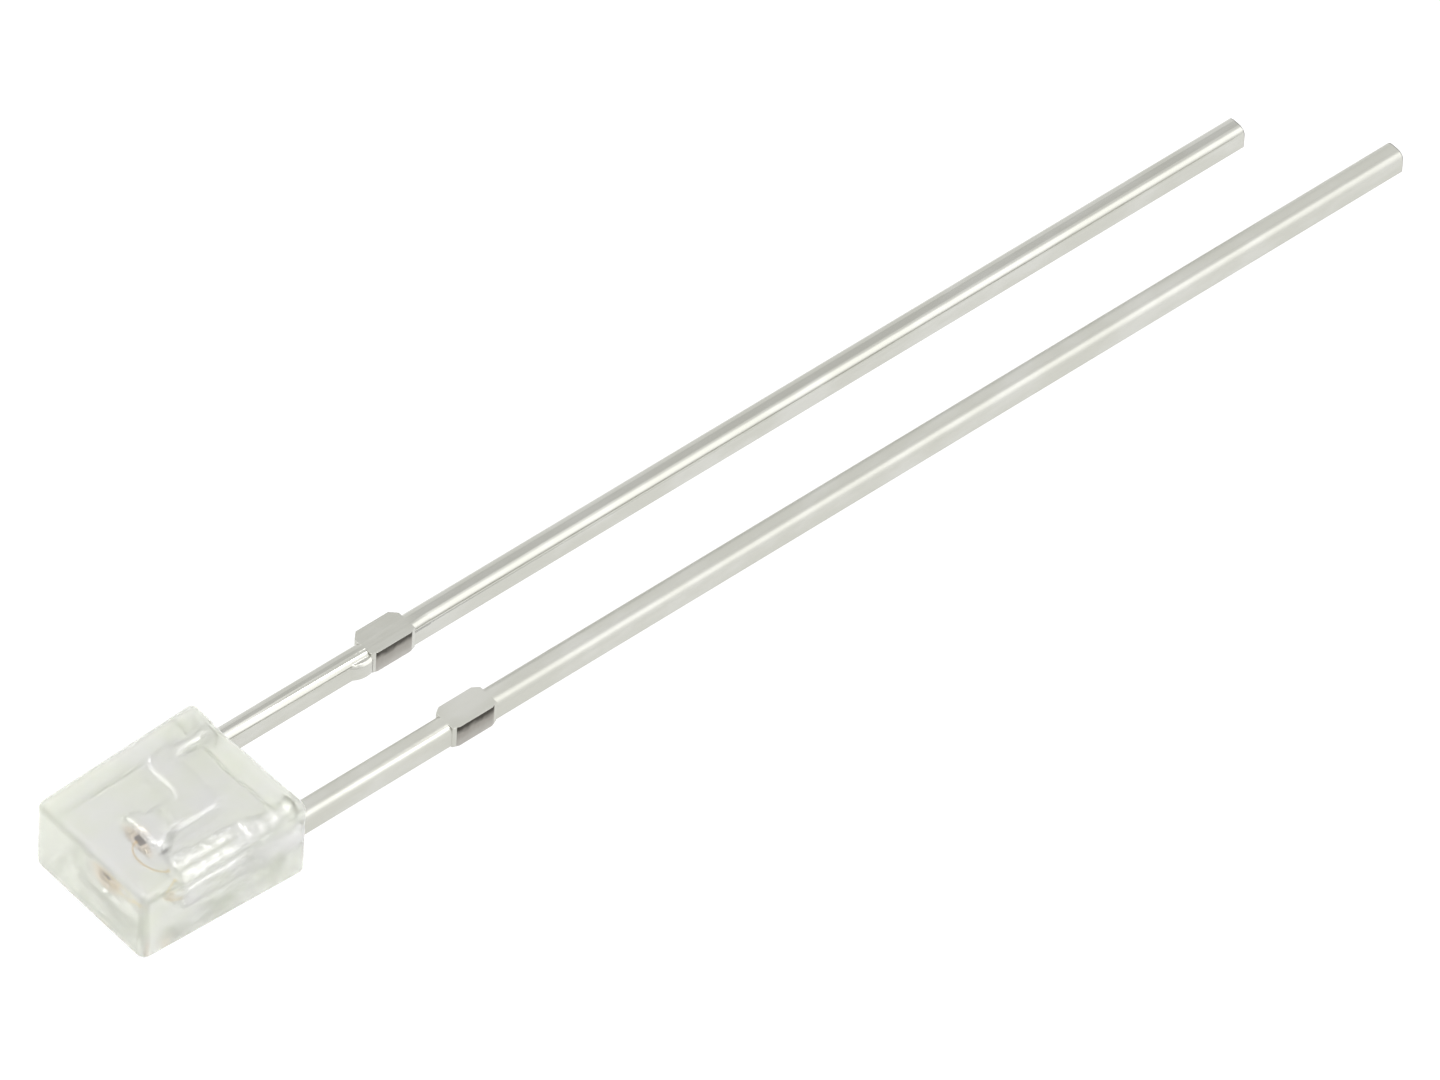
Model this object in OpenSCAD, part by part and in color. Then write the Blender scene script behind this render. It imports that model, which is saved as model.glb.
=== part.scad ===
// Rectangular through-hole LED: a clear cast package on two straight stamped leads.
// The part lies on its wide face. X runs across the two leads, Y runs from the package
// to the lead tips, and Z is up. The origin is midway between the leads, on the flat
// rear face of the package, which was the open side of its casting mould.

/* [Package] */
// Width of the package at its rear face, across the leads
body_w = 3.6; // [3.5:0.05:4.4]
// Thickness of the package at its rear face
body_h = 2.05; // [1.95:0.05:2.6]
// Length of the package, from the rear face to the emitting face
body_l = 4.1; // [3.8:0.1:6]
// Draft of each side wall in degrees, which lets the casting leave its mould
draft = 1.2; // [0:0.1:1.6]
// Radius of the corners and of the edges round the emitting face
corner_r = 0.18; // [0.1:0.02:0.3]
// Height that the resin creeps up each lead as it cures
creep_h = 0.06; // [0.03:0.01:0.1]
// Width of the foot of that collar of resin
creep_w = 0.1; // [0.05:0.01:0.15]

/* [Leads] */
// Distance between the centrelines of the leads
pitch = 2.54; // [2.5:0.01:2.6]
// Width of each lead beyond its stub
lead_w = 0.52; // [0.5:0.01:0.56]
// Width of the cathode's lead between the package and its stub
cathode_neck_w = 0.44; // [0.4:0.01:0.48]
// Width of the anode's lead between the package and its stub
anode_neck_w = 0.5; // [0.42:0.01:0.5]
// Thickness of the metal strip with its coat of tin
lead_t = 0.56; // [0.46:0.01:0.6]
// Radius of the upper edges of each lead, which the stamping die rolled over
roll_r = 0.18; // [0.1:0.01:0.18]
// Radius of the lower edges of each lead
edge_r = 0.05; // [0.03:0.01:0.1]
// Length of the short lead, the cathode, from the rear face
cathode_l = 27.3; // [12:0.1:30]
// Length of the long lead, the anode, from the rear face
anode_l = 29.4; // [13:0.1:32]

/* [Tie bar stubs] */
// Distance from the rear face to the stubs, where the tie bar was cut away
stub_y = 4; // [1.5:0.05:5]
// Length of each stub along its lead
stub_l = 1.15; // [0.8:0.05:1.4]
// Length of the worn corner at each end of a stub
stub_corner = 0.15; // [0.05:0.01:0.25]
// How far the stub stands out on the cathode's outer side
cathode_stub_out = 0.15; // [0.05:0.01:0.25]
// How far the stub stands out on the cathode's inner side
cathode_stub_in = 0.05; // [0.03:0.01:0.25]
// How far the stub stands out on the anode's inner side
anode_stub_in = 0.1; // [0.05:0.01:0.25]
// How far the stub stands out on the anode's outer side
anode_stub_out = 0.06; // [0.03:0.01:0.25]
// Height of the bulge that the cutting punch pressed out beside the cathode's stub
bulge_h = 0.12; // [0.03:0.01:0.12]
// Length of that bulge along the lead
bulge_l = 0.5; // [0.3:0.05:0.8]

/* [Cathode anvil and cup] */
// Distance from the rear face to the near edge of the anvil
anvil_y = 0.95; // [0.7:0.05:1]
// Distance from the rear face to the anvil's outer shoulder
shoulder_y = 1.65; // [1.5:0.05:1.7]
// Radius of the outer shoulder
shoulder_r = 0.35; // [0.2:0.05:0.45]
// Radius of the heel, at the anvil's free end
heel_r = 0.25; // [0.1:0.05:0.4]
// Radius in the inner corners of the stamping
fillet_r = 0.12; // [0.05:0.01:0.2]
// Width of the stem that carries the cup
stem_w = 0.8; // [0.6:0.05:0.9]
// Place of the cup across the package
cup_x = 0.05; // [-0.05:0.01:0.08]
// Distance from the rear face to the cup's rim
rim_y = 2.88; // [2.8:0.02:3]
// Radius of the cup's rim
cup_r = 0.68; // [0.6:0.01:0.7]
// Thickness of the cup, which is coined flat with the strip
cup_t = 0.9; // [0.8:0.01:1]
// Length of the flare from the stem to the cup's full radius
flare_l = 0.6; // [0.4:0.02:0.7]
// Length of the straight wall under the rim
rim_l = 0.28; // [0.22:0.01:0.34]
// Radius of the reflector dish at its mouth
dish_r = 0.41; // [0.36:0.01:0.42]
// Radius of the reflector dish at its floor
dish_floor_r = 0.27; // [0.26:0.01:0.3]
// Depth of the reflector dish
dish_d = 0.2; // [0.15:0.01:0.24]

/* [Anode post] */
// Distance from the rear face to the start of the post's jog
jog_y = 0.9; // [0.6:0.05:1.1]
// Length of the jog
jog_l = 0.6; // [0.4:0.05:0.8]
// Place of the post's outer edge across the package
post_x = 1.22; // [1.16:0.01:1.32]
// Width of the post's stem
post_w = 0.29; // [0.25:0.01:0.32]
// Width of the post's head, where the wire lands
head_w = 0.38; // [0.34:0.01:0.4]
// Length of the post's head
head_l = 0.5; // [0.3:0.05:0.6]
// Distance from the rear face to the end of the post
post_y = 2.9; // [2.8:0.02:3]

/* [Chip and bond wire] */
// Side of the square chip
chip_w = 0.2; // [0.18:0.01:0.28]
// Height of the chip
chip_h = 0.2; // [0.18:0.01:0.3]
// Thickness of the adhesive under the chip
attach_t = 0.02; // [0.01:0.005:0.04]
// Margin of adhesive round the chip
attach_margin = 0.03; // [0.01:0.005:0.04]
// Diameter of the bond wire
wire_d = 0.03; // [0.025:0.005:0.04]
// Rise of the wire's loop above the chip
loop_h = 0.26; // [0.15:0.01:0.35]
// Diameter of the ball that joins the wire to the chip
ball_d = 0.09; // [0.07:0.01:0.11]

/* [Hidden] */

$fn = 96;
corner_fn = 32;
arc_steps = 6;
overlap = 0.1;
skin = 0.02;
lip = 0.01;
rim_bevel = 0.03;
head_r = 0.08;
head_taper = 0.15;
wire_sides = 8;
wire_steps = 28;

cathode_x = -pitch / 2;
anode_x = pitch / 2;
front_w = body_w - 2 * body_l * tan(draft);
front_h = body_h - 2 * body_l * tan(draft);
stem_left = cup_x - stem_w / 2;
stem_right = cup_x + stem_w / 2;
floor_y = rim_y - dish_d;
chip_base_y = floor_y + attach_t;
chip_top_y = chip_base_y + chip_h;
head_x = post_x - head_w / 2;
ball_h = ball_d / 3;
foot_d = 2.4 * wire_d;
foot_h = 0.8 * wire_d;

// Points of an arc about a centre, from one angle to another in degrees
function arc(centre, r, from, to) = [
    for (i = [0:arc_steps])
        let (a = from + (to - from) * i / arc_steps)
        centre + r * [cos(a), sin(a)]
];

// A rectangle with rounded corners, centred, with its own radius at the top and at the bottom
function rounded_rectangle(w, h, top, bottom) = concat(
    arc([w / 2 - top, h / 2 - top], top, 0, 90),
    arc([top - w / 2, h / 2 - top], top, 90, 180),
    arc([bottom - w / 2, bottom - h / 2], bottom, 180, 270),
    arc([w / 2 - bottom, bottom - h / 2], bottom, 270, 360)
);

// Outline of the cathode's anvil and stem, seen along Z
function anvil_outline() =
    let (left = cathode_x - cathode_neck_w / 2, right = cathode_x + cathode_neck_w / 2)
    concat(
        [[left, fillet_r - anvil_y]],
        arc([left + shoulder_r, shoulder_r - shoulder_y], shoulder_r, 180, 270),
        arc([stem_left - fillet_r, -shoulder_y - fillet_r], fillet_r, 90, 0),
        [[stem_left, overlap - floor_y], [stem_right, overlap - floor_y]],
        arc([stem_right - heel_r, -anvil_y - heel_r], heel_r, 0, 90),
        arc([right + fillet_r, fillet_r - anvil_y], fillet_r, 270, 180)
    );

// Outline of the anode's post, seen along Z
function post_outline() =
    let (
        left = anode_x - anode_neck_w / 2,
        right = anode_x + anode_neck_w / 2,
        jog_end = jog_y + jog_l
    )
    concat(
        [[left, overlap - jog_y], [right, overlap - jog_y], [right, -jog_y], [post_x, -jog_end]],
        arc([post_x - head_r, head_r - post_y], head_r, 0, -90),
        arc([post_x - head_w + head_r, head_r - post_y], head_r, -90, -180),
        [[post_x - head_w, head_l - post_y], [post_x - post_w, head_l + head_taper - post_y]],
        [[post_x - post_w, -jog_end], [left, -jog_y]]
    );

// Outline of the stub that the tie bar leaves on a lead, seen along Z
function stub_outline(x, left_out, right_out) =
    let (
        left = x - lead_w / 2,
        right = x + lead_w / 2,
        near = stub_y + stub_corner,
        far = stub_y + stub_l - stub_corner
    )
    [
        [left, stub_y], [left - left_out, near], [left - left_out, far], [left, stub_y + stub_l],
        [right, stub_y + stub_l], [right + right_out, far], [right + right_out, near], [right, stub_y]
    ];

// The wire's loop is a cubic curve that rises straight off the chip and slopes to the post
loop_rise = chip_top_y + ball_h + 4 / 3 * loop_h;
loop_poles = [
    [cup_x, -chip_top_y - ball_h / 2],
    [cup_x, -loop_rise],
    [head_x - 0.15, -loop_rise],
    [head_x, -post_y - 0.7 * foot_h]
];

// Point of the loop at s, from 0 at the chip to 1 at the post
function loop_point(s) =
    pow(1 - s, 3) * loop_poles[0] + 3 * s * pow(1 - s, 2) * loop_poles[1]
    + 3 * s * s * (1 - s) * loop_poles[2] + pow(s, 3) * loop_poles[3];

// Direction of the loop at s
function loop_direction(s) =
    let (
        d = pow(1 - s, 2) * (loop_poles[1] - loop_poles[0])
            + 2 * s * (1 - s) * (loop_poles[2] - loop_poles[1])
            + s * s * (loop_poles[3] - loop_poles[2])
    )
    d / norm(d);

// Ring of points round the wire at s
function wire_ring(s) =
    let (p = loop_point(s), t = loop_direction(s))
    [
        for (k = [0:wire_sides - 1])
            let (a = 360 * k / wire_sides, u = wire_d / 2 * cos(a), v = wire_d / 2 * sin(a))
            [p[0] - t[1] * u, p[1] + t[0] * u, v]
    ];

// A bar of the rounded lead section along Y
module bar(x, w, from, to) {
    translate([x, to, 0])
        rotate([90, 0, 0])
            linear_extrude(to - from)
                polygon(rounded_rectangle(w, lead_t, roll_r, edge_r));
}

// A shape stamped out of the strip
module stamped(outline) {
    translate([0, 0, -lead_t / 2])
        linear_extrude(lead_t)
            polygon(outline);
}

// Bulge beside the cathode's stub: a slice of an upright disc with bevelled edges.
// It is highest at a third of its length before the stub.
module bulge() {
    peak = bulge_l / 3;
    reach = bulge_l - peak;
    r = (reach * reach + bulge_h * bulge_h) / (2 * bulge_h);
    x = cathode_x + cathode_neck_w / 2 + bulge_h - r;
    bevel = bulge_h / 2;
    disc_t = lead_t - roll_r / 2 - skin;
    intersection() {
        translate([x, stub_y - peak, skin - lead_t / 2]) {
            cylinder(r1 = r - bevel, r2 = r, h = bevel);
            translate([0, 0, bevel])
                cylinder(r = r, h = disc_t - 2 * bevel);
            translate([0, 0, disc_t - bevel])
                cylinder(r1 = r, r2 = r - bevel, h = bevel);
        }
        translate([cathode_x, stub_y - bulge_l, -lead_t / 2])
            cube([cathode_neck_w, bulge_l + skin, lead_t]);
    }
}

// Straight run of a lead, from inside the package to its tip
module lead_run(x, neck_w, from, tip) {
    bar(x, neck_w, from, stub_y + stub_l / 2);
    bar(x, lead_w, stub_y + stub_l / 2, tip);
}

// Cup coined on the end of the stem: a flared round flattened on two sides, with a dish
module cup() {
    length = flare_l + rim_l;
    intersection() {
        translate([cup_x, length - rim_y, 0])
            rotate([90, 0, 0])
                rotate_extrude()
                    polygon([
                        [0, 0],
                        [stem_w / 2 - overlap, 0],
                        [cup_r, flare_l],
                        [cup_r, length - rim_bevel],
                        [cup_r - rim_bevel, length],
                        [dish_r, length],
                        [dish_floor_r, length - dish_d],
                        [0, length - dish_d]
                    ]);
        translate([cup_x - cup_r, -rim_y, -cup_t / 2])
            cube([2 * cup_r, length, cup_t]);
    }
}

module cathode_form() {
    lead_run(cathode_x, cathode_neck_w, -anvil_y - overlap, cathode_l);
    stamped(stub_outline(cathode_x, cathode_stub_out, cathode_stub_in));
    bulge();
    stamped(anvil_outline());
    cup();
}

module anode_form() {
    lead_run(anode_x, anode_neck_w, -jog_y, anode_l);
    stamped(stub_outline(anode_x, anode_stub_in, anode_stub_out));
    stamped(post_outline());
}

module attach_form() {
    side = chip_w + 2 * attach_margin;
    translate([cup_x - side / 2, -chip_base_y, -side / 2])
        cube([side, attach_t, side]);
}

module chip_form() {
    translate([cup_x - chip_w / 2, -chip_top_y, -chip_w / 2])
        cube([chip_w, chip_h, chip_w]);
}

module wire_loop() {
    last = wire_steps * wire_sides;
    polyhedron(
        points = [for (i = [0:wire_steps]) each wire_ring(i / wire_steps)],
        faces = concat(
            [[for (k = [0:wire_sides - 1]) k]],
            [[for (k = [wire_sides - 1:-1:0]) last + k]],
            [
                for (i = [0:wire_steps - 1], k = [0:wire_sides - 1])
                    let (a = i * wire_sides + k, b = i * wire_sides + (k + 1) % wire_sides)
                    [a, a + wire_sides, b + wire_sides, b]
            ]
        )
    );
}

// A short round of the wire's metal, pressed on a face that looks along -Y
module pressed_round(x, face_y, d, h) {
    translate([x, -face_y, 0])
        rotate([90, 0, 0])
            cylinder(d = d, h = h);
}

module wire_form() {
    pressed_round(cup_x, chip_top_y, ball_d, ball_h);
    wire_loop();
    pressed_round(head_x, post_y, foot_d, foot_h);
}

// Outer form of the casting: a drafted block with round corners
module package_form() {
    hull()
        for (sx = [-1, 1], sz = [-1, 1]) {
            translate([sx * (body_w / 2 - corner_r), 0, sz * (body_h / 2 - corner_r)])
                rotate([90, 0, 0])
                    cylinder(r = corner_r, h = skin, $fn = corner_fn);
            translate([sx * (front_w / 2 - corner_r), corner_r - body_l, sz * (front_h / 2 - corner_r)])
                sphere(r = corner_r, $fn = corner_fn);
        }
}

// Collar of resin that climbed a lead
module resin_collar(x, neck_w) {
    foot_w = neck_w + 2 * creep_w;
    foot_t = lead_t + 2 * creep_w;
    translate([x, 0, 0])
        rotate([-90, 0, 0])
            hull() {
                translate([0, 0, -skin])
                    linear_extrude(skin)
                        polygon(rounded_rectangle(foot_w, foot_t, creep_w, creep_w));
                linear_extrude(creep_h)
                    polygon(rounded_rectangle(neck_w + 2 * lip, lead_t + 2 * lip, edge_r, edge_r));
            }
}

module epoxy_body() {
    color([0.86, 0.88, 0.84, 0.45])
        difference() {
            union() {
                package_form();
                resin_collar(cathode_x, cathode_neck_w);
                resin_collar(anode_x, anode_neck_w);
            }
            cathode_form();
            anode_form();
            attach_form();
            chip_form();
            wire_form();
        }
}

module cathode_lead() {
    color([0.78, 0.78, 0.77])
        cathode_form();
}

module anode_lead() {
    color([0.80, 0.80, 0.79])
        anode_form();
}

module led_chip() {
    color([0.30, 0.17, 0.06])
        chip_form();
}

module die_attach() {
    color([0.72, 0.70, 0.66])
        attach_form();
}

module bond_wire() {
    color([0.90, 0.72, 0.32])
        wire_form();
}

epoxy_body();
cathode_lead();
anode_lead();
led_chip();
die_attach();
bond_wire();
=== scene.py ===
# %% [markdown]
# # A rectangular through-hole LED
#
# The package is smaller than a grain of rice: a block of clear cast resin, 3.6 mm wide, on
# two long leads stamped from tin-plated steel strip. Nearly all of the part's looks come from
# three things: light that bends in the resin, the soft shine of the plating, and the small
# marks that casting and stamping leave behind.
#
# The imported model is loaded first. It holds every piece at its real size, in metres, and the
# rest of the script dresses it.

# %% Load the frame
import math

import bpy
import numpy as np
from mathutils import Matrix, Vector


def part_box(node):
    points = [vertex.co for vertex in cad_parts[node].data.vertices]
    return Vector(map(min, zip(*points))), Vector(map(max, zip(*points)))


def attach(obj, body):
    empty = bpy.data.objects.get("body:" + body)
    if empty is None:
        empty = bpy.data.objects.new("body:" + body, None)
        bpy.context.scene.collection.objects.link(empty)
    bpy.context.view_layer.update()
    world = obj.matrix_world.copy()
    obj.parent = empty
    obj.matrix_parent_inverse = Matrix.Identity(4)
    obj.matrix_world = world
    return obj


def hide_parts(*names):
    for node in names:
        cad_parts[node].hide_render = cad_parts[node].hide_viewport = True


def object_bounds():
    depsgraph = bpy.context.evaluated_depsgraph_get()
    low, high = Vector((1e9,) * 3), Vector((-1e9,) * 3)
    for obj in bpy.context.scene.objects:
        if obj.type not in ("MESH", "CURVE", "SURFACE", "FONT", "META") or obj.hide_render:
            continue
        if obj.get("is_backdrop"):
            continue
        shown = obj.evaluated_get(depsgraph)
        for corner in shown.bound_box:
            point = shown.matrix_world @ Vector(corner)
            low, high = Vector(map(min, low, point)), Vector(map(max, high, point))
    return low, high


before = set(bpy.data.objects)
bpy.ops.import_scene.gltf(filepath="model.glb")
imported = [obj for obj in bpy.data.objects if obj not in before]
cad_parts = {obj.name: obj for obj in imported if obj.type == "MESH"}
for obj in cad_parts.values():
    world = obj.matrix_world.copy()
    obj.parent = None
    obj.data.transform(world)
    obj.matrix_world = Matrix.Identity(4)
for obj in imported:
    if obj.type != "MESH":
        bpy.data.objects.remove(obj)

cad_low, cad_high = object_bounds()
print("size of the part in mm:", [round(1000 * (b - a), 2) for a, b in zip(cad_low, cad_high)])

# %% [markdown]
# ## Where the camera stands
#
# A photograph of a small part is taken from far away with a long lens, so its edges stay
# almost parallel. The two leads are 2.54 mm apart, which gives the scale of the picture, and
# the directions of the package's edges give the angles. The camera is then one point, 400 mm
# away, that looks along one direction, and the part sits off the middle of the picture
# because the camera was pointed past it.

# %% Place the camera
MM = 0.001
AZIMUTH, ELEVATION, ROLL = math.radians(47.27), math.radians(47.66), math.radians(3.22)
DISTANCE = 400.3
FRAME_PIXELS, PIXELS_PER_MM = 1440, 50.304
SENSOR_WIDTH = 36
ASIDE, BELOW = -9.375, -4.898

back = Vector((
    math.sin(AZIMUTH) * math.cos(ELEVATION),
    -math.cos(AZIMUTH) * math.cos(ELEVATION),
    math.sin(ELEVATION),
))
level_right = Vector((math.cos(AZIMUTH), math.sin(AZIMUTH), 0))
level_up = back.cross(level_right)
right = level_right * math.cos(ROLL) + level_up * math.sin(ROLL)
up = level_up * math.cos(ROLL) - level_right * math.sin(ROLL)

camera_data = bpy.data.cameras.new("studio_camera")
camera_data.sensor_width = SENSOR_WIDTH
camera_data.lens = PIXELS_PER_MM * DISTANCE * SENSOR_WIDTH / FRAME_PIXELS
camera_data.clip_start, camera_data.clip_end = 0.01, 10
camera = bpy.data.objects.new("studio_camera", camera_data)
bpy.context.collection.objects.link(camera)
place = MM * (back * DISTANCE - right * ASIDE - up * BELOW)
camera.matrix_world = Matrix.Translation(place) @ Matrix((right, up, back)).transposed().to_4x4()
bpy.context.scene.camera = camera
print("lens in mm:", round(camera_data.lens, 1))

# %% [markdown]
# ## From rings of points to a closed skin
#
# Every new piece here is a stack of rings. Point (i, j) is step j of the way round ring i,
# and four neighbours make one face. The first and the last ring are closed with a single
# point each, so the piece is a watertight solid with no hole at its poles.

# %% Build a closed skin from rings
def closed_skin(rings):
    """Vertices and faces of a stack of rings (m, n, 3), closed at both ends.

    Face (i, j) joins points j and j + 1 of ring i to the same two points of ring i + 1.
    Each end gets one more point, the mean of its ring, and a fan of triangles to it.
    The volume is a sixth of the sum of a . (b x c) over the triangles, and its sign says
    whether the faces look outwards. If they look inwards, every face is turned round.
    """
    m, n, _ = rings.shape
    points = np.concatenate([rings.reshape(-1, 3), [rings[0].mean(0), rings[-1].mean(0)]])
    here = np.arange(n)
    after = (here + 1) % n
    row = n * np.arange(m - 1)[:, None]
    quads = np.stack([row + here, row + after, row + n + after, row + n + here], -1).reshape(-1, 4)
    last = n * (m - 1)
    first_fan = np.stack([after, here, np.full(n, m * n)], -1)
    last_fan = np.stack([last + here, last + after, np.full(n, m * n + 1)], -1)
    triangles = np.concatenate([quads[:, :3], quads[:, [0, 2, 3]], first_fan, last_fan])
    a, b, c = (points[triangles[:, k]] for k in range(3))
    if np.einsum("ij,ij->", a, np.cross(b, c)) < 0:
        quads, first_fan, last_fan = quads[:, ::-1], first_fan[:, ::-1], last_fan[:, ::-1]
    return points, [*quads.tolist(), *first_fan.tolist(), *last_fan.tolist()]


# %% Make one object from closed skins
def make_piece(name, skins, slot_name, *nodes):
    """One smooth mesh object from one or more closed skins, in mm, that stands for CAD nodes."""
    points, faces, count = [], [], 0
    for skin_points, skin_faces in skins:
        points.append(skin_points)
        faces += [[count + k for k in face] for face in skin_faces]
        count += len(skin_points)
    mesh = bpy.data.meshes.new(name)
    mesh.from_pydata((MM * np.concatenate(points)).tolist(), [], faces)
    mesh.polygons.foreach_set("use_smooth", np.ones(len(mesh.polygons), bool))
    mesh.update()
    piece = bpy.data.objects.new(name, mesh)
    bpy.context.collection.objects.link(piece)
    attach(piece, "root")
    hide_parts(*nodes)
    print(name, "has", len(mesh.polygons), "faces")
    return piece


# %% [markdown]
# ## The package
#
# The package is cast: liquid resin is poured round the lead frame in a small mould, and the
# leads stick out of the open side. Three things follow from that. The walls lean inwards a
# little towards the emitting face, so that the casting leaves the mould. The edges round
# that face are soft, because the mould was polished. And the rear face was the free surface
# of a liquid, so it is glossy, never quite flat, and climbs each lead in a small collar.
#
# A bevelled cube would give the first two but not the third. Here the whole skin is one
# function: a ring of rounded rectangle that is carried along Y, with its half sizes and its
# corner radius given by a profile. The free surface is then a height that is added to Y. The
# outer sizes come from the frame. The corners are a little rounder than the solid's, because
# the real block's look softer than those.

# %% Take the package's sizes from the frame
body_low, body_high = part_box("epoxy_body")
HALF_W = body_high.x / MM
HALF_H = body_high.z / MM
LENGTH = -body_low.y / MM
CREEP = body_high.y / MM
LEAN = math.tan(math.radians(1.2))
CORNER, REAR_EDGE, TIGHT = 0.21, 0.13, 0.02
print("package in mm:", round(2 * HALF_W, 3), round(2 * HALF_H, 3), round(LENGTH, 3))
print("height of the collars in mm:", round(CREEP, 3))

# %% Rings of rounded rectangle
def rectangle_rings(half_w, half_h, corner, y, along=(44, 22), round_steps=9):
    """Rings (m, n, 3) of a rounded rectangle in XZ, one for each entry of the four arrays.

    A point is a corner's centre plus the corner's radius times a unit vector. On a straight
    side the centre moves from one corner to the next and the unit vector stands still; in a
    corner the centre stands still and the unit vector turns through a quarter circle.
    """
    slide = [np.linspace(-1, 1, k, endpoint=False) for k in along]
    turn = np.linspace(0, np.pi / 2, round_steps, endpoint=False)
    u, v, p, q = [], [], [], []
    for k in range(4):
        steps = slide[1] if k % 2 == 0 else slide[0]
        c, s = round(math.cos(k * np.pi / 2)), round(math.sin(k * np.pi / 2))
        u.append(c - s * steps)
        v.append(s + c * steps)
        p.append(np.full(len(steps), float(c)))
        q.append(np.full(len(steps), float(s)))
        u.append(np.full(round_steps, float(c - s)))
        v.append(np.full(round_steps, float(s + c)))
        p.append(np.cos(turn + k * np.pi / 2))
        q.append(np.sin(turn + k * np.pi / 2))
    u, v, p, q = (np.concatenate(k)[None] for k in (u, v, p, q))
    half_w, half_h, corner, y = (np.asarray(k, float)[:, None] for k in (half_w, half_h, corner, y))
    x = (half_w - corner) * u + corner * p
    z = (half_h - corner) * v + corner * q
    return np.stack([x, np.broadcast_to(y, x.shape), z], -1)


# %% The free surface of the resin
LEAD_X = 1.27
NECK_HALF_W, LEAD_HALF_T = 0.235, 0.28
BELOW_SOLID, COLLAR_REACH = 0.005, 0.055
DIP_X, DIP_DEPTH, DIP_REACH = -0.65, 0.045, 0.42
RISE_X, RISE_HEIGHT, RISE_REACH = 1.15, 0.045, 0.16


def lead_distance(x, z):
    """Distance to the nearer lead's section: the hypotenuse of what lies past each half side."""
    across = np.maximum(np.abs(np.abs(x) - LEAD_X) - NECK_HALF_W, 0)
    through = np.maximum(np.abs(z) - LEAD_HALF_T, 0)
    return np.hypot(across, through)


def free_surface(x, z):
    """Height of the rear face over its nominal plane, in mm.

    The collar falls off exponentially with the distance from the lead, as a liquid's edge
    does, and starts a little below the top of the solid's. The slow part is a bell-shaped dip
    between the leads and a rise towards the anode's side, where the mould was filled a little
    fuller. The rise is a smooth step in X, and more than twice as high at the top of the
    package as at its bottom.
    """
    collar = (CREEP - BELOW_SOLID) * np.exp(-lead_distance(x, z) / COLLAR_REACH)
    dip = -DIP_DEPTH * np.exp(-(((x - DIP_X) / DIP_REACH) ** 2))
    rise = RISE_HEIGHT / (1 + np.exp(-(x - RISE_X) / RISE_REACH)) * (0.7 + 0.3 * z / HALF_H)
    return collar + dip + rise


# %% The package's skin
FADE = 0.7


def package_rings():
    """Rings of the whole skin, from the middle of the emitting face to that of the rear face.

    The profile has five parts, each with its half width, half height, corner radius and Y: the
    flat face, its round edge (radius times sine and cosine of the bend), the wall, which is a
    straight line, the rear edge, again a quarter circle, and the rear face. The free surface
    is then added to Y. Its share is the square of 1 + Y / FADE, so it fades out on the wall.
    """
    front_w, front_h = HALF_W - LENGTH * LEAN, HALF_H - LENGTH * LEAN
    flat_w, flat_h = front_w - CORNER, front_h - CORNER
    face = np.linspace(0.04, 1, 10, endpoint=False)
    bend = np.linspace(0, np.pi / 2, 10)
    wall = np.linspace(0, 1, 22)[1:-1]
    inward = np.linspace(1, 0.03, 46)[1:]
    grown = CORNER * np.sin(bend)
    turn = np.linspace(0, np.pi / 2, 5)
    shrunk = REAR_EDGE * (1 - np.cos(turn))
    parts = [
        (face * flat_w, face * flat_h, face * TIGHT, -LENGTH + 0 * face),
        (flat_w + grown, flat_h + grown, TIGHT + (CORNER - TIGHT) * np.sin(bend),
         -LENGTH + CORNER * (1 - np.cos(bend))),
        (front_w + (HALF_W - front_w) * wall, front_h + (HALF_H - front_h) * wall,
         CORNER + 0 * wall, (CORNER - LENGTH) * (1 - wall) - REAR_EDGE * wall),
        (HALF_W - shrunk, HALF_H - shrunk, CORNER - shrunk, REAR_EDGE * (np.sin(turn) - 1)),
        (inward * (HALF_W - REAR_EDGE), inward * (HALF_H - REAR_EDGE),
         inward * (CORNER - REAR_EDGE), 0 * inward),
    ]
    rings = rectangle_rings(*(np.concatenate(k) for k in zip(*parts)))
    share = np.clip(1 + rings[..., 1] / FADE, 0, 1) ** 2
    rings[..., 1] += share * free_surface(rings[..., 0], rings[..., 2])
    return rings


package = make_piece("cast_package", [closed_skin(package_rings())], "clear_epoxy", "epoxy_body")

# %% [markdown]
# ## The adhesive and the bond wire
#
# The chip sits on a dot of silver-filled adhesive that is squeezed out round it, so its edge
# is soft. The wire is gold, three hundredths of a millimetre thick. A machine melts its end
# to a ball, presses that on the chip, pulls a loop and crushes the other end on the post.
# Both are small, but the resin is a lens and shows them. A curve object with a round bevel
# would do for the wire, but then its ends stay open. So it is a ring carried along a cubic
# curve and closed like every other skin, and the ball and the foot are flattened rounds.

# %% The adhesive pad
PAD_CORNER, PAD_SWELL = 0.03, 0.012
pad_low, pad_high = (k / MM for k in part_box("die_attach"))
pad_middle = (pad_low + pad_high) / 2
swell = np.linspace(0, np.pi, 7)
pad_half = (pad_high.x - pad_low.x) / 2 - PAD_SWELL * (1 - np.sin(swell))
pad_y = pad_middle.y - (pad_high.y - pad_low.y) / 2 * np.cos(swell)
pad_rings = rectangle_rings(pad_half, pad_half, PAD_CORNER + 0 * swell, pad_y, (6, 6), 5)
pad_rings += np.array([pad_middle.x, 0, pad_middle.z])
adhesive = make_piece("squeezed_adhesive", [closed_skin(pad_rings)], "silver_adhesive", "die_attach")

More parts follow.
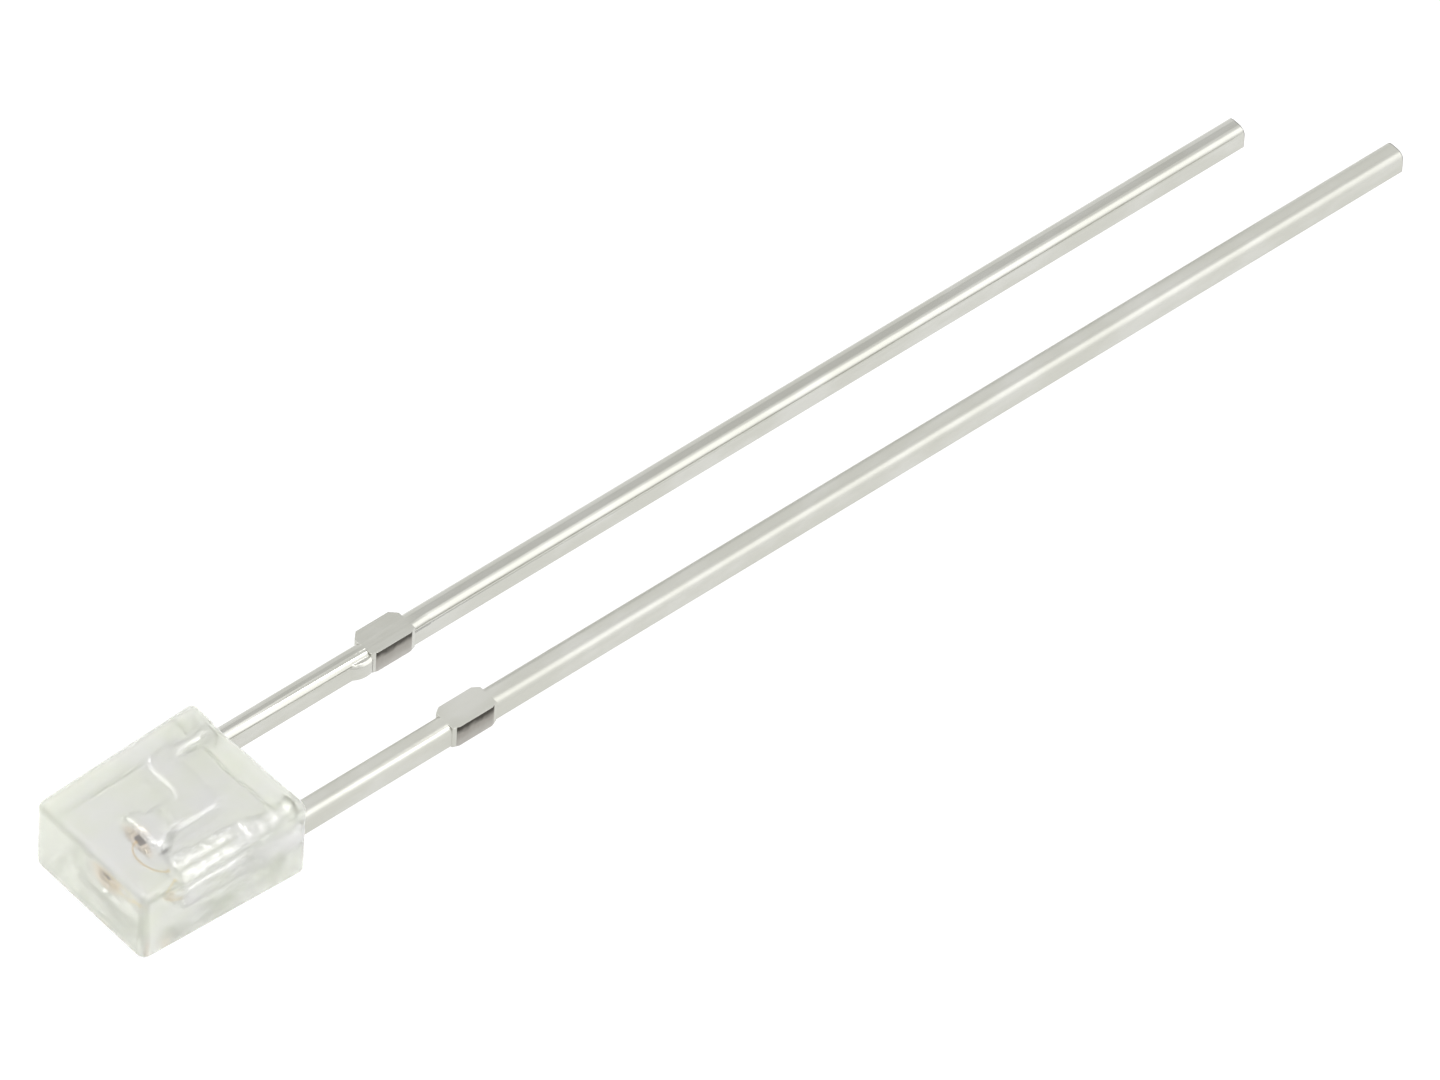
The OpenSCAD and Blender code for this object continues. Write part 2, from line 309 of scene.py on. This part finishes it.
# %% Where the bond wire starts, runs and ends
chip_low, chip_high = (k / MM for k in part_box("led_chip"))
CHIP_X, CHIP_TOP = (chip_low.x + chip_high.x) / 2, chip_low.y
POST_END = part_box("anode_lead")[0].y / MM
WIRE_R, BALL_R, BALL_H, FOOT_R, FOOT_H = 0.015, 0.045, 0.03, 0.036, 0.024
FOOT_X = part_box("bond_wire")[1].x / MM - FOOT_R
LOOP_H, LANDING = 0.26, 0.15
LOOP_Y = CHIP_TOP - BALL_H - 4 / 3 * LOOP_H
poles = np.array([
    [CHIP_X, CHIP_TOP - BALL_H / 2],
    [CHIP_X, LOOP_Y],
    [FOOT_X - LANDING, LOOP_Y],
    [FOOT_X, POST_END - 0.7 * FOOT_H],
])
print("the wire spans, in mm:", round(FOOT_X - CHIP_X, 3))

# %% A circle carried along the wire's curve
def wire_tube(steps=48, sides=14):
    """A circle carried along a cubic curve in the plane of the leads.

    The curve is the sum of the four poles, each times its weight, a binomial term in s and
    1 - s. At each step the circle is spanned by Z and by the curve's direction turned a
    quarter round in that plane.
    """
    s = np.linspace(0, 1, steps)[:, None]
    weights = [(1 - s) ** 3, 3 * s * (1 - s) ** 2, 3 * s * s * (1 - s), s**3]
    slopes = [(1 - s) ** 2, 2 * s * (1 - s), s * s]
    path = sum(w * p for w, p in zip(weights, poles))
    way = sum(w * (b - a) for w, a, b in zip(slopes, poles, poles[1:]))
    way /= np.linalg.norm(way, axis=1, keepdims=True)
    angle = np.linspace(0, 2 * np.pi, sides, endpoint=False)
    out = WIRE_R * np.cos(angle)
    return np.stack([
        path[:, :1] - way[:, 1:] * out,
        path[:, 1:] + way[:, :1] * out,
        np.broadcast_to(WIRE_R * np.sin(angle), (steps, sides)),
    ], -1)


# %% The ball, the foot and the whole wire
def pressed_round(x, y, radius, height, sides=20):
    """A flattened round about Y, which bulges halfway up.

    With t from -1 to 1 over its height, its radius is radius x (1 - 0.45 x |t| to the 2.6).
    """
    rise = np.linspace(0, 1, 8)[:, None]
    angle = np.linspace(0, 2 * np.pi, sides, endpoint=False)
    r = radius * (1 - 0.45 * np.abs(2 * rise - 1) ** 2.6)
    return np.stack([x + r * np.cos(angle), y - height * rise + 0 * angle, r * np.sin(angle)], -1)


wire = make_piece(
    "gold_bond_wire",
    [
        closed_skin(wire_tube()),
        closed_skin(pressed_round(CHIP_X, CHIP_TOP, BALL_R, BALL_H)),
        closed_skin(pressed_round(FOOT_X, POST_END, FOOT_R, FOOT_H)),
    ],
    "gold_wire",
    "bond_wire",
)

# %% [markdown]
# ## The leads and the chip
#
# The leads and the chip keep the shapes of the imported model. Their meshes arrive as loose
# triangles, so a Weld modifier joins them, and a narrow Bevel takes the knife edge off every
# corner, because no stamped edge is perfectly sharp: without it there is nothing to catch
# a highlight.

# %% Soften the stamped edges
LEAD_EDGE, CHIP_EDGE = 0.02, 0.006
STRAIGHT_ALONG_AXIS = 0.9999


def soften(piece, width):
    """Weld the loose triangles and round every edge that turns by more than 35 degrees.

    Faces that look straight along an axis are the flats of the stamping and stay flat shaded.
    """
    weld = piece.modifiers.new("join_triangles", "WELD")
    weld.merge_threshold = 2e-7
    bevel = piece.modifiers.new("broken_edges", "BEVEL")
    bevel.width = width * MM
    bevel.segments = 3
    bevel.limit_method = "ANGLE"
    bevel.angle_limit = math.radians(35)
    count = len(piece.data.polygons)
    facing = np.empty(3 * count)
    piece.data.polygons.foreach_get("normal", facing)
    flat = np.abs(facing.reshape(-1, 3)).max(1) > STRAIGHT_ALONG_AXIS
    piece.data.polygons.foreach_set("use_smooth", ~flat)


leads = [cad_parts["cathode_lead"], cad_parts["anode_lead"]]
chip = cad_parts["led_chip"]
for lead in leads:
    soften(lead, LEAD_EDGE)
soften(chip, CHIP_EDGE)
print("softened", [k.name for k in (*leads, chip)])

# %% [markdown]
# ## Tools for the finishes
#
# A finish is a small network of nodes. Wiring it node by node would take pages, so a few
# helpers keep the recipes short: one feeds a node's inputs, one adds a node, and the others
# make what every recipe needs, such as a step of arithmetic, a mix of two colours or a
# relief. Coordinates are the object's own, turned from metres into millimetres, so a grain
# size in a recipe is a real size on the part.

# %% Node helpers
def feed(tree, node, **inputs):
    """Sets a node's inputs. A socket is linked, and anything else becomes the input's value.

    An input is called by its name with _ for a space, or by its number as n0, n1 and so on.
    """
    for key, value in inputs.items():
        numbered = key[0] == "n" and key[1:].isdigit()
        socket = node.inputs[int(key[1:]) if numbered else key.replace("_", " ")]
        if isinstance(value, bpy.types.NodeSocket):
            tree.links.new(value, socket)
        else:
            socket.default_value = value


def add(tree, kind, settings=None, **inputs):
    """Adds one node with its settings and its inputs."""
    node = tree.nodes.new(kind)
    for key, value in (settings or {}).items():
        setattr(node, key, value)
    feed(tree, node, **inputs)
    return node


# %% Steps that every recipe needs
def math_node(tree, operation, *values):
    """The value of one arithmetic step."""
    numbered = {f"n{k}": value for k, value in enumerate(values)}
    return add(tree, "ShaderNodeMath", {"operation": operation}, **numbered).outputs[0]


def ramp(tree, value, start, end, at_start=0.0, at_end=1.0):
    """A straight line from (start, at_start) to (end, at_end), level outside them."""
    node = add(
        tree, "ShaderNodeMapRange",
        Value=value, From_Min=start, From_Max=end, To_Min=at_start, To_Max=at_end,
    )
    return node.outputs["Result"]


def mix_colours(tree, factor, first, second):
    """The colour that goes from first to second as the factor goes from 0 to 1."""
    node = add(tree, "ShaderNodeMix", {"data_type": "RGBA"}, Factor=factor, n6=first, n7=second)
    return node.outputs[2]


def relief(tree, height, strength, depth, **inputs):
    """The normal of a surface with bumps, where a height of 1 stands for this depth in metres."""
    node = add(tree, "ShaderNodeBump", Strength=strength, Distance=depth, Height=height, **inputs)
    return node.outputs["Normal"]


# %% Start a material, put it on a piece
def start_material(name, colour):
    """A new material: its tree, its Principled shader and the object's coordinates in mm."""
    material = bpy.data.materials.new(name)
    material.use_nodes = True
    material.diffuse_color = (*colour, 1)
    tree = material.node_tree
    shader = tree.nodes["Principled BSDF"]
    feed(tree, shader, Base_Color=(*colour, 1))
    place = add(tree, "ShaderNodeTexCoord").outputs["Object"]
    in_mm = add(tree, "ShaderNodeMapping", Vector=place, Scale=(1000, 1000, 1000))
    return material, tree, shader, in_mm.outputs["Vector"]


def put_on(piece, material):
    """Gives a piece this material and no other."""
    piece.data.materials.clear()
    piece.data.materials.append(material)
    print(piece.name, "is", material.name, "with", len(material.node_tree.nodes), "nodes")


# %% Start a node group
VALUE, VECTOR = "NodeSocketFloat", "NodeSocketVector"


def new_group(name, inputs, outputs):
    """An empty node group with named sockets, and the sockets of its two inside ends."""
    group = bpy.data.node_groups.new(name, "ShaderNodeTree")
    for key, kind in inputs.items():
        group.interface.new_socket(key, in_out="INPUT", socket_type=kind)
    for key, kind in outputs.items():
        group.interface.new_socket(key, in_out="OUTPUT", socket_type=kind)
    given = group.nodes.new("NodeGroupInput").outputs
    result = group.nodes.new("NodeGroupOutput").inputs
    return group, given, result


# %% [markdown]
# ## One effect for every finish: patches
#
# Plating, resin, adhesive, wire and paper all vary a little from place to place, each at its
# own scale. The effect is the same each time, noise stretched along one axis and turned into
# a mask with soft edges, so it is a node group, built once and placed in each material.

# %% The group "patches"
def build_patches():
    """Mask = a smooth step, from Low to High, of the noise at (place x stretch x scale)."""
    group, given, result = new_group(
        "patches",
        {"Place": VECTOR, "Stretch": VECTOR, "Scale": VALUE, "Low": VALUE, "High": VALUE},
        {"Mask": VALUE},
    )
    stretched = add(
        group, "ShaderNodeVectorMath", {"operation": "MULTIPLY"},
        n0=given["Place"], n1=given["Stretch"],
    )
    noise = add(
        group, "ShaderNodeTexNoise",
        Vector=stretched.outputs[0], Scale=given["Scale"], Detail=3.0,
    )
    spread = add(
        group, "ShaderNodeMapRange", {"interpolation_type": "SMOOTHSTEP"},
        Value=noise.outputs["Fac"], From_Min=given["Low"], From_Max=given["High"],
    )
    group.links.new(spread.outputs["Result"], result["Mask"])
    return group


PATCHES = build_patches()
print("the group", PATCHES.name, "has", len(PATCHES.nodes), "nodes")


def patches(tree, place, scale, stretch=(1, 1, 1), low=0.35, high=0.65):
    """The mask of the group "patches" in this tree, with its scale in grains per mm."""
    node = add(
        tree, "ShaderNodeGroup", {"node_tree": PATCHES},
        Place=place, Scale=scale, Stretch=stretch, Low=low, High=high,
    )
    return node.outputs["Mask"]


# %% [markdown]
# ## The resin
#
# Epoxy bends light by an index of about 1.53. It is clear, but not like optical glass: it is
# slightly grey-green, and fine haze in it scatters some of the light, which is why the block
# reads as milky against white paper. Most of the shader's weight is in transmission, which
# bends and tints the light, and what is left is haze at the skin.
#
# The haze in the bulk could be a volume, but that is slow and full of noise. Light that is
# caught between the walls crosses more resin the more often it meets them from within, and it
# picks up more scattered light on the way. So each wall adds a little light where it is met
# from within, which is what Backfacing tells. Seen from outside it adds nothing. Without this
# the inner corners of the block turn into dark lines. The emitting face gets a lighter tint
# than the other walls, a painted light that makes it read brighter, and all walls carry faint flow
# lines.

# %% Colours of the resin
GREEN_GREY, NEUTRAL_GREY = (0.61, 0.62, 0.555, 1), (0.62, 0.615, 0.615, 1)
PAINTED_LIGHT_GREY = (0.68, 0.685, 0.635, 1)
NO_LIGHT, HAZE_LIGHT = (0, 0, 0, 1), (0.95, 1.0, 0.88, 1)

resin, tree, shader, mm = start_material("clear_cast_epoxy", (0.86, 0.87, 0.84))
cloud = patches(tree, mm, 0.9, low=0.3, high=0.7)
bulk = mix_colours(tree, cloud, GREEN_GREY, NEUTRAL_GREY)
towards = add(tree, "ShaderNodeTexCoord").outputs["Normal"]
towards_y = add(tree, "ShaderNodeSeparateXYZ", Vector=towards).outputs["Y"]
# Painted light: the emitting face gets a lighter tint, so it reads brighter than the other walls.
painted_light_face = ramp(tree, towards_y, -0.8, -1.0)
tint = mix_colours(tree, painted_light_face, bulk, PAINTED_LIGHT_GREY)
from_within = add(tree, "ShaderNodeNewGeometry").outputs["Backfacing"]
haze = mix_colours(tree, from_within, NO_LIGHT, HAZE_LIGHT)

# %% Relief of the resin, and its whole finish
smudges = patches(tree, mm, 2.2, low=0.45, high=0.75)
flow_lines = patches(tree, mm, 1.3, stretch=(1, 0.5, 1), low=0.2, high=0.8)
dust = patches(tree, mm, 30, low=0.7, high=0.76)
height = math_node(tree, "MULTIPLY_ADD", dust, 0.12, flow_lines)
feed(
    tree, shader,
    Base_Color=tint,
    Roughness=ramp(tree, smudges, 0.0, 1.0, 0.0, 0.015),
    IOR=1.53,
    Transmission_Weight=0.75,
    Subsurface_Weight=1.0,
    Subsurface_Scale=0.001,
    Subsurface_Radius=(1.0, 1.0, 0.9),
    Emission_Color=haze,
    Emission_Strength=0.18,
    Normal=relief(tree, height, 0.3, 0.00002),
)
resin.cycles.emission_sampling = "NONE"
put_on(package, resin)

# %% [markdown]
# ## Where a lead is bare, and where it lies in the resin
#
# Where the tie bar was sheared off and at the tips the bare steel shows, and there the metal
# broke off rough. Its colour is painted darkest at the top of such a face, as painted shade, and
# lighter towards the bottom, as a painted reflection of the paper.
# Vertex colours could mark these places, but the leads are imported solids whose meshes stay
# as they are. A place is a question of position alone, so a group works it out from that.

# %% The group "sheared faces"
STUB_FROM, STUB_TO = 4.0, 5.15
PAST_LEAD_SIDE, TIP_SKIN = 0.295, 0.012


def build_sheared():
    """Masks of a lead: Bare, Depth and Inside.

    Bare is 1 on the stub's sides, the upright faces that stand out from the lead's centreline
    by more than half its width, and on the very end of the tip. Depth goes from 0 at the top
    of the strip to 1 at its bottom, and wanders a little. Inside is 1 where Y is negative.
    """
    group, given, result = new_group(
        "sheared_faces",
        {"Place": VECTOR, "Facing": VECTOR, "Tip": VALUE},
        {"Bare": VALUE, "Depth": VALUE, "Inside": VALUE},
    )
    split = add(group, "ShaderNodeSeparateXYZ", Vector=given["Place"]).outputs
    steep = add(group, "ShaderNodeSeparateXYZ", Vector=given["Facing"]).outputs
    either_side = math_node(group, "ABSOLUTE", split["X"])
    out = math_node(group, "ABSOLUTE", math_node(group, "SUBTRACT", either_side, LEAD_X))
    stub = math_node(group, "GREATER_THAN", out, PAST_LEAD_SIDE)
    for test, side, limit in (
        ("GREATER_THAN", split["Y"], STUB_FROM),
        ("LESS_THAN", split["Y"], STUB_TO),
        ("GREATER_THAN", math_node(group, "ABSOLUTE", steep["X"]), 0.5),
    ):
        stub = math_node(group, "MULTIPLY", stub, math_node(group, test, side, limit))
    tip_from = math_node(group, "SUBTRACT", given["Tip"], TIP_SKIN)
    tip = math_node(group, "GREATER_THAN", split["Y"], tip_from)
    wander = patches(group, given["Place"], 5, low=0.2, high=0.8)
    level = math_node(group, "MULTIPLY_ADD", wander, 0.08, split["Z"])
    group.links.new(math_node(group, "MAXIMUM", stub, tip), result["Bare"])
    group.links.new(ramp(group, level, LEAD_HALF_T, -LEAD_HALF_T), result["Depth"])
    group.links.new(math_node(group, "LESS_THAN", split["Y"], 0.0), result["Inside"])
    return group


SHEARED = build_sheared()
print("the group", SHEARED.name, "has", len(SHEARED.nodes), "nodes")

# %% [markdown]
# ## The plating
#
# The strip is rolled, so it has fine lines along its length, and the tin on it is satin and a
# little warm, lighter where it was rubbed. Inside the resin the tin was never dipped on: there
# the plating is the bright silver that the chip and the wire are bonded to. The metal round
# the chip looks warm, as if the adhesive's resin had bled out and stained it.
#
# The two leads mirror different parts of their surroundings, though they lie side by side, so
# their faces can't be quite true. Outside, each face is shaded as if it leaned about the
# lead's length, by 6 degrees on the cathode and 3 on the anode. Inside, the coined metal is
# shaded as if it were wavy and tilted by 5 to 6 degrees each way, which breaks its bright
# edges up into pieces. The slopes are there for the light only. The shapes stay as they were
# imported, and a height that grows with the distance is added to the relief. A wide Bevel node
# rolls the edges of the coined metal over.

# %% Colour of the plating
TIN, RUBBED_TIN = (0.55, 0.55, 0.50, 1), (0.60, 0.60, 0.56, 1)
SILVER, STAINED_SILVER = (0.97, 0.97, 0.97, 1), (0.80, 0.52, 0.26, 1)
STAIN_FULL, STAIN_NONE = 0.15, 0.55
STEEL_PAINTED_SHADE, STEEL_HALF_PAINTED_SHADE = (0.07, 0.065, 0.055, 1), (0.34, 0.325, 0.295, 1)
STEEL_PAINTED_REFLECTION = (0.50, 0.485, 0.455, 1)


def plate_colour(tree, mm, cut):
    """Tin outside, torn steel where the lead is bare, and silver in the resin.

    The steel is painted darkest at the top, as shade, and lighter with the depth, as a painted
    reflection of the paper. The silver's stain fades with the distance from the top of the chip.
    """
    rubbed = patches(tree, mm, 1.6, stretch=(1, 0.4, 1), low=0.4, high=0.7)
    tin = mix_colours(tree, rubbed, TIN, RUBBED_TIN)
    # Painted shade and reflection: the bare steel is darkest at the top and lighter towards the
    # bottom.
    steel = add(tree, "ShaderNodeValToRGB", Fac=cut["Depth"])
    stops = steel.color_ramp.elements
    stops[0].position, stops[0].color = 0.06, STEEL_PAINTED_SHADE
    stops[1].position, stops[1].color = 1.0, STEEL_PAINTED_REFLECTION
    stops.new(0.32).color = STEEL_HALF_PAINTED_SHADE
    beside_chip = add(
        tree, "ShaderNodeVectorMath", {"operation": "DISTANCE"},
        n0=mm, n1=(CHIP_X, CHIP_TOP, 0.0),
    )
    unstained = ramp(tree, beside_chip.outputs["Value"], STAIN_FULL, STAIN_NONE)
    silver = mix_colours(tree, unstained, STAINED_SILVER, SILVER)
    outside = mix_colours(tree, cut["Bare"], tin, steel.outputs["Color"])
    return mix_colours(tree, cut["Inside"], outside, silver)


# %% Relief of the plating
TILT_ALONG, TILT_ACROSS = 103.0, -80.0


def plate_height(tree, mm, cut, lines, centre, lean, wave):
    """Height in thousandths of a millimetre, the sum of four parts.

    Everywhere: the rolled lines and a quarter of the grain. On bare faces: upright ripples.
    Outside, away from the stub: lean x distance across. Inside: wave x wide patches, plus the
    two tilts, each times the distance in mm along or across the lead.
    """
    grain = patches(tree, mm, 28, low=0.3, high=0.7)
    rolled = math_node(tree, "MULTIPLY_ADD", grain, 0.25, lines)
    ripples = patches(tree, mm, 14, stretch=(1, 1, 0.1), low=0.3, high=0.7)
    torn = math_node(tree, "MULTIPLY", math_node(tree, "MULTIPLY", cut["Bare"], ripples), 2.0)
    where = add(tree, "ShaderNodeSeparateXYZ", Vector=mm).outputs
    across = math_node(tree, "SUBTRACT", where["X"], centre)
    past_middle = math_node(tree, "SUBTRACT", where["Y"], (STUB_FROM + STUB_TO) / 2)
    off_stub = ramp(tree, math_node(tree, "ABSOLUTE", past_middle), 0.5, 1.0)
    open_run = math_node(tree, "SUBTRACT", off_stub, cut["Inside"])
    leaning = math_node(tree, "MULTIPLY", math_node(tree, "MULTIPLY", across, lean), open_run)
    waves = math_node(tree, "MULTIPLY", patches(tree, mm, 3.2, low=0.25, high=0.75), wave)
    tilt_across = math_node(tree, "MULTIPLY", across, TILT_ACROSS)
    tilt = math_node(tree, "MULTIPLY_ADD", where["Y"], TILT_ALONG, tilt_across)
    coined = math_node(tree, "MULTIPLY", math_node(tree, "ADD", waves, tilt), cut["Inside"])
    height = rolled
    for part in (torn, leaning, coined):
        height = math_node(tree, "ADD", height, part)
    return height


# %% The plating of one lead
EDGE_OUTSIDE, EDGE_INSIDE = 0.02, 0.22


def tin_plate(name, tip, centre, lean, gloss, wave):
    """Satin tin on a lead whose tip is at Y = tip and whose middle is at X = centre.

    Its roughness is gloss, plus 0.06 on the rolled lines and 0.25 on bare faces. In the resin
    it is 0.6 x gloss. Edges are rolled over far wider in the resin than outside.
    """
    material, tree, shader, mm = start_material(name, (0.72, 0.72, 0.70))
    facing = add(tree, "ShaderNodeTexCoord").outputs["Normal"]
    cut = add(
        tree, "ShaderNodeGroup", {"node_tree": SHEARED}, Place=mm, Facing=facing, Tip=tip,
    ).outputs
    lines = patches(tree, mm, 9, stretch=(1, 0.05, 1), low=0.25, high=0.75)
    satin = math_node(tree, "MULTIPLY_ADD", lines, 0.06, gloss)
    torn = math_node(tree, "MULTIPLY_ADD", cut["Bare"], 0.25, satin)
    wider = (EDGE_INSIDE - EDGE_OUTSIDE) * MM
    edge_radius = math_node(tree, "MULTIPLY_ADD", cut["Inside"], wider, EDGE_OUTSIDE * MM)
    rolled_over = add(tree, "ShaderNodeBevel", {"samples": 6}, Radius=edge_radius)
    height = plate_height(tree, mm, cut, lines, centre, lean, wave)
    feed(
        tree, shader,
        Base_Color=plate_colour(tree, mm, cut),
        Metallic=1.0,
        Roughness=ramp(tree, cut["Inside"], 0.0, 1.0, torn, 0.6 * gloss),
        Normal=relief(tree, height, 1.0, 0.000001, Normal=rolled_over.outputs["Normal"]),
    )
    return material


# %% Plate both leads
LEAD_FINISHES = {
    "cathode": {"centre": -LEAD_X, "lean": -110, "gloss": 0.15, "wave": 5},
    "anode": {"centre": LEAD_X, "lean": 60, "gloss": 0.36, "wave": 24},
}
for lead, (label, finish) in zip(leads, LEAD_FINISHES.items()):
    lead_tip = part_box(lead.name)[1].y / MM
    put_on(lead, tin_plate(f"tin_plate_{label}", lead_tip, **finish))

# %% [markdown]
# ## The chip, its adhesive and its wire
#
# The chip is taken to be gallium phosphide, amber where light passes through it, with walls
# that a saw left rough and a gold contact in the middle of its top. The adhesive is resin full
# of silver flakes, so it glitters a little but isn't smooth. The wire is plain bright gold.
# Each is a few masks on one shader, because nothing finer would show through the resin.

# %% The chip's finish
CONTACT_RADIUS, CONTACT_RIM = 0.050, 0.005
CRYSTAL, SAWN_CRYSTAL = (0.02, 0.012, 0.006, 1), (0.10, 0.045, 0.015, 1)
GOLD = (0.90, 0.66, 0.28)
crystal, tree, shader, mm = start_material("amber_crystal", (0.30, 0.14, 0.04))
from_top = add(
    tree, "ShaderNodeVectorMath", {"operation": "SUBTRACT"}, n0=mm, n1=(CHIP_X, CHIP_TOP, 0.0),
).outputs[0]
reach = add(tree, "ShaderNodeVectorMath", {"operation": "LENGTH"}, n0=from_top).outputs["Value"]
contact = ramp(tree, reach, CONTACT_RADIUS, CONTACT_RADIUS + CONTACT_RIM, 1.0, 0.0)
saw = patches(tree, mm, 40, stretch=(1, 0.15, 1), low=0.3, high=0.7)
stone = mix_colours(tree, saw, CRYSTAL, SAWN_CRYSTAL)
feed(
    tree, shader,
    Base_Color=mix_colours(tree, contact, stone, (*GOLD, 1)),
    Metallic=contact,
    Roughness=math_node(tree, "MULTIPLY_ADD", saw, 0.3, 0.2),
    Normal=relief(tree, saw, 0.3, 0.000003),
)
put_on(chip, crystal)

# %% The adhesive's finish
paste, tree, shader, mm = start_material("silver_filled_adhesive", (0.70, 0.68, 0.64))
flakes = patches(tree, mm, 60, low=0.5, high=0.56)
feed(
    tree, shader,
    Metallic=math_node(tree, "MULTIPLY", flakes, 0.9),
    Roughness=math_node(tree, "MULTIPLY_ADD", flakes, -0.3, 0.6),
    Normal=relief(tree, flakes, 0.4, 0.000003),
)
put_on(adhesive, paste)

# %% The wire's finish
gold, tree, shader, mm = start_material("bright_gold", GOLD)
drawn = patches(tree, mm, 50, low=0.3, high=0.7)
feed(
    tree, shader,
    Metallic=1.0,
    Roughness=math_node(tree, "MULTIPLY_ADD", drawn, 0.12, 0.15),
    Normal=relief(tree, drawn, 0.15, 0.000001),
)
put_on(wire, gold)

# %% [markdown]
# ## The table
#
# Small parts are often photographed on a sheet of white paper that is lit from below as well
# as from above. Nothing then casts a shadow, and the resin is lit from under it too. Lamps
# below the paper would have to shine through it, so the paper itself gives off light instead,
# and only a small part of its brightness is left to what falls on it.

# %% The paper
PAPER_HALF = 0.6
floor_z = cad_low[2]
corners = [(-1, -1), (1, -1), (1, 1), (-1, 1)]
points = [(x * PAPER_HALF, y * PAPER_HALF, floor_z) for x, y in corners]
sheet = bpy.data.meshes.new("paper")
sheet.from_pydata(points, [], [(0, 1, 2, 3)])
paper = bpy.data.objects.new("paper", sheet)
bpy.context.collection.objects.link(paper)
paper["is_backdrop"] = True
white, tree, shader, mm = start_material("white_paper", (0.18, 0.18, 0.18))
fibre = patches(tree, mm, 3, low=0.3, high=0.7)
feed(
    tree, shader,
    Emission_Color=(1, 1, 1, 1),
    Emission_Strength=0.86,
    Roughness=0.7,
    Normal=relief(tree, fibre, 0.05, 0.00001),
)
put_on(paper, white)

# %% [markdown]
# ## The light
#
# Over the paper stands a white tent. Light comes from everywhere, so the metal shows only the
# difference between one side of the tent and another. An even world is the tent, and patches
# of it are brighter or dimmer. The first, wide and soft, gives the streak along the edge of
# each lead. The second dims what the tops of the leads mirror. The last three are small and
# strong. They stand just off the directions that the block's own straight edges mirror, so
# they glint on the tilted metal inside and leave those edges alone.
#
# Area lamps could do this too, but a patch of the world is the same from every point, which
# keeps a streak even over the whole length of a lead.

# %% The tent
TENT_PATCHES = (
    ((0.55, 0.46, 0.70), 24, 42, 0.8),
    ((-0.30, 0.46, 0.84), 5, 14, -0.2),
    ((0.55, 0.16, 0.82), 7, 11, 6.0),
    ((-0.26, -0.25, 0.93), 6, 10, 6.0),
    ((-0.64, -0.10, 0.76), 5, 8, 5.0),
)


def patch_of_tent(tree, way, direction, inner, outer, change):
    """Change in brightness round a direction: full within inner degrees of it, none past outer.

    The cosine of the angle to the direction is the dot product of the two unit vectors, and a
    smooth step takes it from none at the cosine of outer to full at the cosine of inner.
    """
    middle = Vector(direction).normalized()
    dot = add(tree, "ShaderNodeVectorMath", {"operation": "DOT_PRODUCT"}, n0=way, n1=middle)
    near, far = math.cos(math.radians(inner)), math.cos(math.radians(outer))
    return add(
        tree, "ShaderNodeMapRange", {"interpolation_type": "SMOOTHSTEP"},
        Value=dot.outputs["Value"], From_Min=far, From_Max=near, To_Min=0.0, To_Max=change,
    ).outputs["Result"]


world = bpy.data.worlds.new("tent")
world.use_nodes = True
tree = world.node_tree
way = add(tree, "ShaderNodeTexCoord").outputs["Generated"]
light = 1.0
for patch in TENT_PATCHES:
    light = math_node(tree, "ADD", light, patch_of_tent(tree, way, *patch))
feed(tree, tree.nodes["Background"], Color=(1, 1, 1, 1), Strength=light)
bpy.context.scene.world = world
bpy.context.scene.view_settings.view_transform = "Standard"
print("the tent has", len(TENT_PATCHES), "patches")

# %% [markdown]
# ## Check the size
#
# The dressed part must be as large as the imported one. The largest difference between the
# two boxes is printed.

# %% Print the largest difference of the boxes
low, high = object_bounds()
gap = max(abs(a - b) for a, b in zip((*low, *high), (*cad_low, *cad_high)))
print("largest difference of the boxes in mm:", round(1000 * gap, 4))
